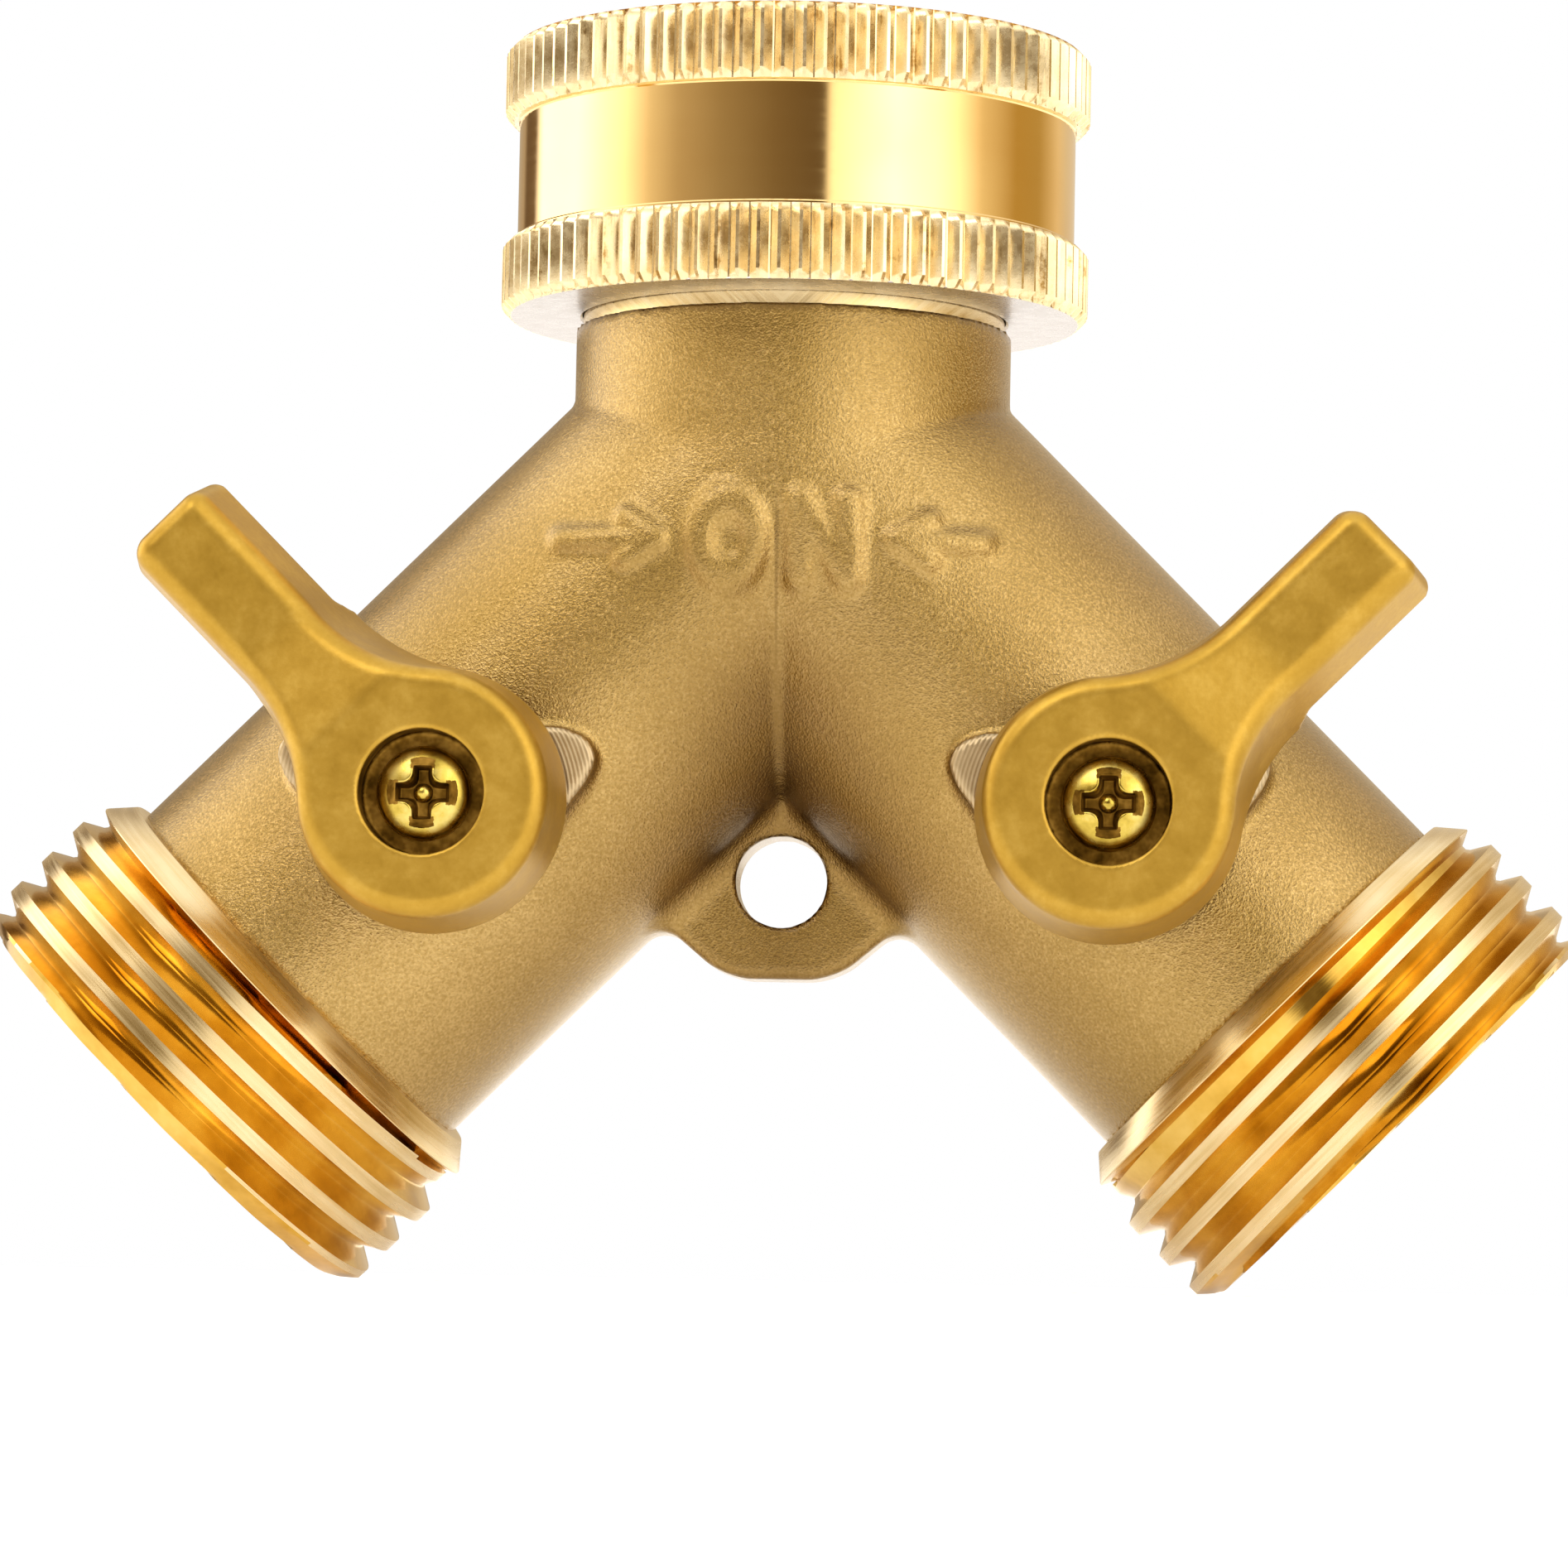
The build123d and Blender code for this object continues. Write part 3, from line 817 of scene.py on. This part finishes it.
def cast_brass():
    """Sand-cast and blasted brass: a fine even grain of small bright facets over soft tone changes, and
    painted shade in the valley between the arms.
    """
    n = Nodes("cast_brass")
    soft = n.noise(70, 3, 0.6)
    medium = n.noise(6600, 2, 0.5)
    fine = n.noise(11000, 2, 0.6)
    tone = n.math("ADD", n.math("MULTIPLY", soft, 0.45), n.math("MULTIPLY", medium, 0.55))
    colour = n.ramp(tone, [
        (0.34, (0.28, 0.173, 0.043)),
        (0.50, (0.36, 0.230, 0.068)),
        (0.66, (0.49, 0.330, 0.122)),
    ])
    separate = n.add("ShaderNodeSeparateXYZ")
    n.link(n.coordinates, separate.inputs["Vector"])

    # Painted shade: a narrow dark line down the crease where the arms meet in front, and a darker patch low
    # in the valley between the arms, where shade falls.
    offset = n.math("ABSOLUTE", n.math("ADD", separate.outputs["X"], n.math("MULTIPLY", soft, 0.00008)))
    crease_shade = n.span(offset, 1.0, 0.0, 0.00004, 0.00017)
    crease_shade = n.math("MULTIPLY", crease_shade, n.span(separate.outputs["Z"], 1.0, 0.0, -0.0262, -0.0240))
    crease_shade = n.math("MULTIPLY", crease_shade, n.span(separate.outputs["Y"], 1.0, 0.0, -0.001, 0.0))
    hollow = n.span(n.math("ABSOLUTE", separate.outputs["X"]), 1.0, 0.0, 0.0, 0.0085)
    hollow = n.math("MULTIPLY", hollow, n.span(separate.outputs["Z"], 1.0, 0.0, -0.034, -0.0255))
    darker = n.add("ShaderNodeMix", data_type="RGBA")
    painted_shade = n.math("MAXIMUM", n.math("MULTIPLY", crease_shade, 0.6), n.math("MULTIPLY", hollow, 0.6))
    n.link(painted_shade, darker.inputs["Factor"])
    n.link(colour, darker.inputs["A"])
    darker.inputs["B"].default_value = (0.13, 0.065, 0.012, 1)

    height = n.math("ADD", n.math("MULTIPLY", fine, 0.7), n.math("MULTIPLY", medium, 0.8))
    normal = n.bump(height, 1.0, 0.00005)
    rough = n.span(fine, 0.17, 0.27, 0.3, 0.7)
    return n.finish(darker.outputs["Result"], rough, normal, Coat_Weight=0.25, Coat_Roughness=0.22)


def turned_brass():
    """Freshly cut brass, glossy, with faint tool lines and a few smudges."""
    n = Nodes("turned_brass")
    smudge = n.noise(220, 4, 0.6)
    line = n.noise(5200, 2, 0.5, coordinates=n.along_arms(0.03))
    colour = n.ramp(smudge, [
        (0.32, (0.52, 0.29, 0.035)),
        (0.52, (0.68, 0.42, 0.08)),
        (0.72, (0.80, 0.56, 0.16)),
    ])
    normal = n.bump(line, 0.12, 0.00003)
    rough = n.span(smudge, 0.11, 0.22, 0.3, 0.7)
    return n.finish(colour, rough, normal)


def crest_brass():
    """The lands of the threads and their collars, coloured paler as a painted highlight on their level tops,
    with the fine lines of the lathe tool.
    """
    n = Nodes("crest_brass")
    lines = n.noise(4200, 2, 0.5, coordinates=n.along_arms(0.03))
    soft = n.noise(260, 3, 0.5)
    tone = n.math("ADD", n.math("MULTIPLY", lines, 0.55), n.math("MULTIPLY", soft, 0.45))
    colour = n.ramp(tone, [
        (0.34, (0.62, 0.45, 0.20)),
        (0.50, (0.72, 0.55, 0.29)),
        (0.66, (0.80, 0.65, 0.39)),
    ])
    normal = n.bump(lines, 0.16, 0.00003)
    return n.finish(colour, n.span(lines, 0.20, 0.32, 0.3, 0.7), normal)


def band_brass():
    """The polished band of the nut, with hair-fine lines round it."""
    n = Nodes("band_brass")
    lines = n.noise(2600, 2, 0.5, stretch=(0.02, 0.02, 1))
    soft = n.noise(90, 3, 0.5)
    colour = n.ramp(soft, [
        (0.3, (0.82, 0.55, 0.22)),
        (0.55, (0.88, 0.62, 0.27)),
        (0.75, (0.92, 0.68, 0.34)),
    ])
    normal = n.bump(lines, 0.05, 0.00002)
    rough = n.span(lines, 0.07, 0.12, 0.3, 0.7)
    return n.finish(colour, rough, normal)


def knurl_brass():
    """Knurled teeth: bright flanks with pits and drag marks along each tooth."""
    n = Nodes("knurl_brass")
    drag = n.noise(1500, 3, 0.6, stretch=(1, 1, 0.12))
    pits = n.noise(1300, 4, 0.7)
    tone = n.math("ADD", n.math("MULTIPLY", drag, 0.6), n.math("MULTIPLY", pits, 0.4))
    colour = n.ramp(tone, [
        (0.34, (0.36, 0.21, 0.06)),
        (0.42, (0.74, 0.57, 0.31)),
        (0.66, (0.87, 0.74, 0.48)),
    ])
    normal = n.bump(tone, 0.4, 0.00006)
    rough = n.span(pits, 0.2, 0.32, 0.3, 0.7)
    return n.finish(colour, rough, normal)


def satin_handle():
    """Blasted and lacquered handle: an even satin with a faint mottle."""
    n = Nodes("satin_handle")
    cloud = n.noise(420, 4, 0.65)
    fine = n.noise(3000, 2, 0.6)
    tone = n.math("ADD", n.math("MULTIPLY", cloud, 0.75), n.math("MULTIPLY", fine, 0.25))
    colour = n.ramp(tone, [
        (0.34, (0.40, 0.228, 0.024)),
        (0.5, (0.445, 0.262, 0.033)),
        (0.66, (0.51, 0.315, 0.052)),
    ])
    normal = n.bump(fine, 0.16, 0.00004)
    rough = n.span(cloud, 0.35, 0.42, 0.3, 0.7)
    return n.finish(colour, rough, normal, metallic=0.8)


def recess_shade_brass():
    """The bored and unpolished wall round a handle's screw and the screw's cross recess, coloured dark as
    painted shade inside them.
    """
    n = Nodes("recess_shade_brass")
    rings = n.noise(1800, 3, 0.7, stretch=(0.4, 1, 0.4))
    colour = n.ramp(rings, [
        (0.35, (0.060, 0.028, 0.003)),
        (0.52, (0.17, 0.085, 0.011)),
        (0.72, (0.44, 0.25, 0.045)),
    ])
    normal = n.bump(rings, 0.5, 0.00008)
    rough = n.span(rings, 0.35, 0.6, 0.3, 0.7)
    return n.finish(colour, rough, normal)


def pad_brass():
    """The pads' machined tops, with the cutter's rings round each valve."""
    n = Nodes("pad_brass")
    separate = n.add("ShaderNodeSeparateXYZ")
    n.link(n.coordinates, separate.inputs["Vector"])
    centre = VALVE["right"][:, 3] * MM
    dx = n.math("SUBTRACT", n.math("ABSOLUTE", separate.outputs["X"]), float(centre[0]))
    dz = n.math("SUBTRACT", separate.outputs["Z"], float(centre[2]))
    radius = n.math("SQRT", n.math("ADD", n.math("MULTIPLY", dx, dx), n.math("MULTIPLY", dz, dz)))
    ring = n.math("SINE", n.math("MULTIPLY", radius, 2 * math.pi / 0.00021))
    worn = n.noise(900, 3, 0.6)
    tone = n.math("ADD", n.math("MULTIPLY", worn, 0.6), n.math("MULTIPLY", n.span(ring, 0, 1, -1, 1), 0.4))
    colour = n.ramp(tone, [(0.25, (0.42, 0.31, 0.17)), (0.75, (0.56, 0.43, 0.26))])
    normal = n.bump(ring, 0.5, 0.000012)
    rough = n.span(worn, 0.40, 0.50, 0.3, 0.7)
    return n.finish(colour, rough, normal)


def bright_brass():
    """Plain machined brass inside the fitting."""
    n = Nodes("bright_brass")
    lines = n.noise(1200, 3, 0.5)
    colour = n.ramp(lines, [(0.3, (0.58, 0.38, 0.13)), (0.7, (0.78, 0.56, 0.24))])
    normal = n.bump(lines, 0.12, 0.00003)
    return n.finish(colour, n.span(lines, 0.2, 0.34, 0.3, 0.7), normal)


def flat_brass():
    """The nut's faced underside, coloured nearly white as a painted highlight of the light it catches."""
    n = Nodes("nut_face_brass")
    lines = n.noise(1100, 3, 0.6)
    colour = n.ramp(lines, [(0.3, (0.42, 0.38, 0.365)), (0.7, (0.50, 0.46, 0.445))])
    normal = n.bump(lines, 0.15, 0.00003)
    return n.finish(colour, n.span(lines, 0.22, 0.34, 0.3, 0.7), normal)


def screw_brass():
    """Yellow-passivated screw head."""
    n = Nodes("screw_brass")
    tint = n.noise(800, 3, 0.6)
    colour = n.ramp(tint, [
        (0.3, (0.34, 0.23, 0.03)),
        (0.5, (0.56, 0.41, 0.075)),
        (0.7, (0.72, 0.58, 0.18)),
    ])
    normal = n.bump(n.noise(2600, 2, 0.5), 0.1, 0.00003)
    return n.finish(colour, n.span(tint, 0.2, 0.32, 0.3, 0.7), normal)


def chromed_ball():
    """The ball's hard chrome, with faint polishing haze."""
    n = Nodes("chromed_ball")
    haze = n.noise(500, 3, 0.5)
    colour = n.ramp(haze, [(0.3, (0.60, 0.61, 0.62)), (0.7, (0.72, 0.73, 0.74))])
    return n.finish(colour, n.span(haze, 0.06, 0.16, 0.3, 0.7))


def white_ptfe():
    """Waxy white seat plastic."""
    n = Nodes("white_ptfe")
    cloud = n.noise(400, 3, 0.6)
    colour = n.ramp(cloud, [(0.3, (0.80, 0.80, 0.77)), (0.7, (0.88, 0.88, 0.86))])
    normal = n.bump(n.noise(1800, 2, 0.5), 0.12, 0.00004)
    return n.finish(colour, n.span(cloud, 0.38, 0.52, 0.3, 0.7), normal, metallic=0.0)


def black_rubber():
    """Moulded black rubber with a dusty bloom."""
    n = Nodes("black_rubber")
    bloom = n.noise(300, 4, 0.6)
    colour = n.ramp(bloom, [(0.3, (0.012, 0.012, 0.013)), (0.7, (0.028, 0.028, 0.03))])
    normal = n.bump(n.noise(2400, 2, 0.6), 0.2, 0.00005)
    return n.finish(colour, n.span(bloom, 0.5, 0.68, 0.3, 0.7), normal, metallic=0.0)


def paint(piece, *materials):
    """Fills the piece's material slots in order, and leaves each face's slot number as it is."""
    slots = piece.data.materials
    for i, material in enumerate(materials):
        if i < len(slots):
            slots[i] = material
        else:
            slots.append(material)


BRASS_CAST = cast_brass()
BRASS_TURNED = turned_brass()
BRASS_BRIGHT = bright_brass()
BRASS_CREST = crest_brass()
RUBBER = black_rubber()
PTFE = white_ptfe()
CHROME = chromed_ball()

# Build, place and paint

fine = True
body = cast_body(0.3 if fine else 0.5)
paint(body, BRASS_CAST, pad_brass(), BRASS_BRIGHT)
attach(body, "body")
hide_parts("y_body")

for name in SIDES:
    piece = outlet(name)
    paint(piece, BRASS_TURNED, BRASS_CREST)
    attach(piece, "body")

spigot_outline = [
    (INLET_R, NECK_TOP_Z - 0.3), (SPIGOT_R - 0.05, NECK_TOP_Z - 0.3), (SPIGOT_R, NECK_TOP_Z + 0.05),
    (SPIGOT_R, GROOVE_LOW), (GROOVE_R, GROOVE_LOW), (GROOVE_R, GROOVE_TOP), (SPIGOT_R, GROOVE_TOP),
    (SPIGOT_R, SPIGOT_TOP - 0.1), (SPIGOT_R - 0.1, SPIGOT_TOP), (INLET_R + 0.1, SPIGOT_TOP),
    (INLET_R, SPIGOT_TOP - 0.1),
]
spigot = mesh_piece("neck_spigot", *lathe(spigot_outline, 160), UPRIGHT, sharp=30)
paint(spigot, BRASS_CREST)
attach(spigot, "body")

knurled = knurl_brass()
for name, top in (("nut_knurl_upper", 0.0), ("nut_knurl_lower", NUT_BOTTOM + KNURL_HEIGHT)):
    piece = knurl(name, top)
    paint(piece, knurled)
    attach(piece, "nut")
shell = nut_shell()
polished, faced = band_brass(), flat_brass()
paint(shell, polished, faced)
# The underside's faces take the nearly white material, a painted highlight.
for polygon in shell.data.polygons:
    if polygon.center.z < (NUT_BOTTOM + 1.5) * MM:
        polygon.material_index = 1
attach(shell, "nut")
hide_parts("swivel_nut")
thread = nut_thread()
paint(thread, BRASS_TURNED)
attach(thread, "nut")

handle_points, handle_quads, handle_index = handle_shape(0.16 if fine else 0.3)
screw_points, screw_quads, screw_index = screw_shape(0.05 if fine else 0.09)
# The dark recess material is painted shade in the counterbores and the screws' recesses.
satin, bored, screw_paint = satin_handle(), recess_shade_brass(), screw_brass()
for name in SIDES:
    piece = mesh_piece(name + "_handle_casting", handle_points, handle_quads, VALVE[name], handle_index)
    paint(piece, satin, bored)
    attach(piece, name + "_valve")
    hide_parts(name + "_handle")
    piece = mesh_piece(name + "_screw_head", screw_points, screw_quads, VALVE[name], screw_index)
    paint(piece, screw_paint, bored)
    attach(piece, name + "_valve")
    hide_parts(name + "_handle_screw")
    for part, material in (
        ("ball", CHROME), ("inner_seat", PTFE), ("outer_seat", PTFE), ("seat_retainer", BRASS_BRIGHT),
        ("stem", BRASS_BRIGHT), ("stem_thrust_washer", PTFE), ("stem_o_ring", RUBBER),
    ):
        paint(nodes[name + "_" + part], material)
paint(nodes["inlet_washer"], RUBBER)
paint(nodes["nut_retaining_ring"], BRASS_BRIGHT)

# Floor, light and camera

def soft_material(name, colour, strength=None):
    material = bpy.data.materials.new(name)
    material.use_nodes = True
    shader = material.node_tree.nodes["Principled BSDF"]
    shader.inputs["Base Color"].default_value = (*colour, 1)
    shader.inputs["Roughness"].default_value = 0.9
    if strength is not None:
        shader.inputs["Emission Color"].default_value = (*colour, 1)
        shader.inputs["Emission Strength"].default_value = strength
    return material


floor_mesh = bpy.data.meshes.new("floor")
reach = 3.0
floor_z = cad_box[0].z - 0.00005
floor_mesh.from_pydata([(-reach, -reach, floor_z), (reach, -reach, floor_z), (reach, reach, floor_z),
                        (-reach, reach, floor_z)], [], [(0, 1, 2, 3)])
floor = bpy.data.objects.new("floor", floor_mesh)
bpy.context.scene.collection.objects.link(floor)
floor.data.materials.append(soft_material("floor", (0.90, 0.90, 0.90), 0.35))


def studio_world():
    """White to look at; as a light, upright panels of different brightness all round and a soft top."""
    world = bpy.data.worlds.new("studio")
    world.use_nodes = True
    tree = world.node_tree
    add, link = tree.nodes.new, tree.links.new
    coordinates = add("ShaderNodeTexCoord")
    separate = add("ShaderNodeSeparateXYZ")
    link(coordinates.outputs["Generated"], separate.inputs["Vector"])
    front = add("ShaderNodeMath")
    front.operation = "MULTIPLY"
    front.inputs[1].default_value = -1
    link(separate.outputs["Y"], front.inputs[0])
    azimuth = add("ShaderNodeMath")
    azimuth.operation = "ARCTAN2"
    link(separate.outputs["X"], azimuth.inputs[0])
    link(front.outputs["Value"], azimuth.inputs[1])
    share = add("ShaderNodeMapRange")
    share.inputs["From Min"].default_value = -math.pi
    share.inputs["From Max"].default_value = math.pi
    link(azimuth.outputs["Value"], share.inputs["Value"])
    panels = add("ShaderNodeValToRGB")
    ramp = panels.color_ramp
    while len(ramp.elements) < len(PANELS):
        ramp.elements.new(0.5)
    for element, (degrees, colour) in zip(ramp.elements, PANELS):
        element.position = (degrees + 180) / 360
        element.color = (*colour, 1)
    link(share.outputs["Result"], panels.inputs["Fac"])
    overhead = add("ShaderNodeMapRange")
    overhead.interpolation_type = "SMOOTHSTEP"
    overhead.inputs["From Min"].default_value = 0.45
    overhead.inputs["From Max"].default_value = 0.95
    link(separate.outputs["Z"], overhead.inputs["Value"])
    blend = add("ShaderNodeMix")
    blend.data_type = "RGBA"
    link(overhead.outputs["Result"], blend.inputs["Factor"])
    link(panels.outputs["Color"], blend.inputs["A"])
    blend.inputs["B"].default_value = (1.5, 1.47, 1.40, 1)
    light = tree.nodes["Background"]
    light.inputs["Strength"].default_value = 1.0
    link(blend.outputs["Result"], light.inputs["Color"])
    plain = add("ShaderNodeBackground")
    plain.inputs["Color"].default_value = (1, 1, 1, 1)
    seen = add("ShaderNodeLightPath")
    choose = add("ShaderNodeMixShader")
    link(seen.outputs["Is Camera Ray"], choose.inputs["Fac"])
    link(light.outputs["Background"], choose.inputs[1])
    link(plain.outputs["Background"], choose.inputs[2])
    link(choose.outputs["Shader"], tree.nodes["World Output"].inputs["Surface"])
    return world


# The studio's panels: degrees round the object, 0 in front and 90 to the right, and their light.
PANELS = [
    (-180, (0.55, 0.46, 0.33)), (-152, (0.50, 0.38, 0.24)), (-147, (0.17, 0.11, 0.06)),
    (-135, (0.20, 0.13, 0.07)),
    (-127, (2.8, 2.7, 2.6)), (-100, (3.3, 3.2, 3.0)), (-76, (2.1, 1.95, 1.65)), (-60, (1.0, 0.86, 0.64)),
    (-47, (0.62, 0.50, 0.34)), (-28, (0.40, 0.31, 0.19)), (-6, (0.24, 0.17, 0.09)), (14, (0.15, 0.10, 0.05)),
    (17, (1.7, 1.6, 1.4)), (44, (3.2, 3.15, 3.0)), (62, (2.6, 2.5, 2.3)), (85, (1.0, 0.84, 0.56)),
    (105, (0.56, 0.37, 0.11)), (122, (0.55, 0.38, 0.13)), (140, (0.9, 0.72, 0.46)), (152, (0.8, 0.68, 0.5)),
]
bpy.context.scene.world = studio_world()


def area_light(name, position, target, size, power):
    light = bpy.data.lights.new(name, "AREA")
    light.shape = "RECTANGLE"
    light.size = light.size_y = size
    light.energy = power
    obj = bpy.data.objects.new(name, light)
    bpy.context.scene.collection.objects.link(obj)
    obj.location = position
    obj.rotation_mode = "QUATERNION"
    obj.rotation_quaternion = (Vector(target) - Vector(position)).to_track_quat("-Z", "Y")
    obj.visible_camera = False
    return obj


area_light("key", position=(-0.25, -0.46, 0.46), target=(0, 0, -0.03), size=0.36, power=1.3)

# The camera stands a little low and to the right, as the photographer's did.
camera_data = bpy.data.cameras.new("camera")
camera = bpy.data.objects.new("camera", camera_data)
bpy.context.scene.collection.objects.link(camera)
camera_data.sensor_width = 36
camera_data.lens = 147.0
yaw, pitch, roll = math.radians(-3.241), math.radians(4.519), math.radians(1.116)
forward = Vector((math.sin(yaw) * math.cos(pitch), math.cos(yaw) * math.cos(pitch), math.sin(pitch)))
camera.location = (0.01861, -0.330, -0.06375)
camera.rotation_mode = "QUATERNION"
camera.rotation_quaternion = forward.to_track_quat("-Z", "Y") @ Quaternion((0, 0, 1), roll)
camera_data.clip_start = 0.001
bpy.context.scene.camera = camera
bpy.context.scene.view_settings.view_transform = "Standard"
